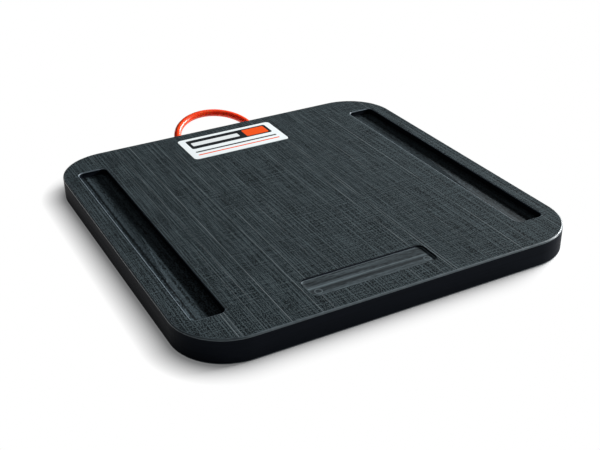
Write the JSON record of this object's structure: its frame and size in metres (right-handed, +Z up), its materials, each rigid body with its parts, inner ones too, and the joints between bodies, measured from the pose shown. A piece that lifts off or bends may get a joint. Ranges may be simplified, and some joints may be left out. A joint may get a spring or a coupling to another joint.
{
  "type": "crane outrigger pad",
  "caption": "Square thick plastic plate with rounded corners that spreads a crane outrigger's load, with a channel along each side and a stiff cord loop to carry it by.",
  "frame": {"origin": "centre of the pad's underside", "axes": "+X along the front edge to the right, +Y from the front edge to the handle edge, +Z up out of the ground"},
  "size_m": [0.61, 0.6844, 0.0455],
  "materials": {
    "plate": "black-grey polyethylene, fine linen-like grain on the top, smooth milled edges",
    "cord": "smooth glossy orange polyurethane round cord",
    "sleeve": "plain crimped aluminium sleeve",
    "label": "white satin vinyl with a plain printed heading and two ruled lines"
  },
  "bodies": {
    "root": {"pad_plate": "plate", "carry_handle": "cord", "left_cord_stop": "sleeve", "right_cord_stop": "sleeve", "label": "label"}
  },
  "joints": []
}
